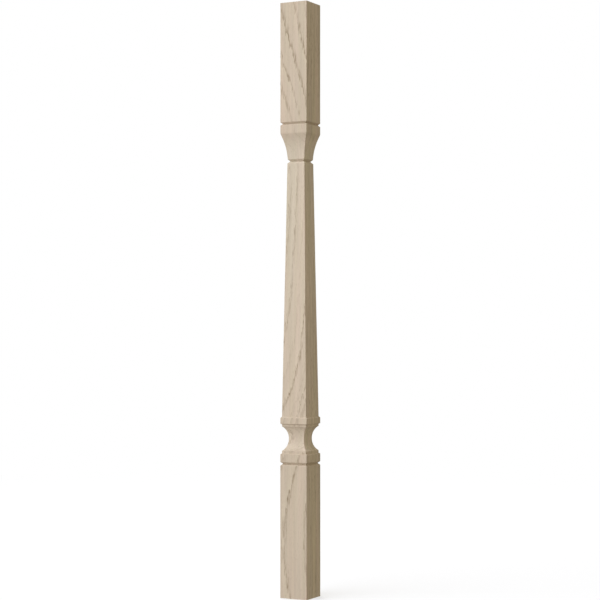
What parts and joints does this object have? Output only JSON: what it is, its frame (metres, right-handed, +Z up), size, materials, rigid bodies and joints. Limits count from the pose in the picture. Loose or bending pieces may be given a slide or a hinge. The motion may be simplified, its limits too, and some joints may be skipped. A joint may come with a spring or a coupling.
{
  "type": "square baluster",
  "caption": "Square milled oak stair baluster with a tapered shaft, scotia, collar and cove between V-grooved head and foot blocks; stands or is fixed between rails.",
  "frame": {"origin": "middle of the underside of the foot block", "axes": "+Z up the length of the baluster; X and Y square to its faces, which are all alike in profile; the widest grain figure faces -Y"},
  "size_m": [0.0444, 0.0444, 0.889],
  "materials": {
    "oak": "bare, machine sanded open-grained oak, matt, pale straw to pinkish tan, with darker pore lines along the grain"
  },
  "bodies": {
    "root": {"baluster": "oak"}
  },
  "joints": []
}
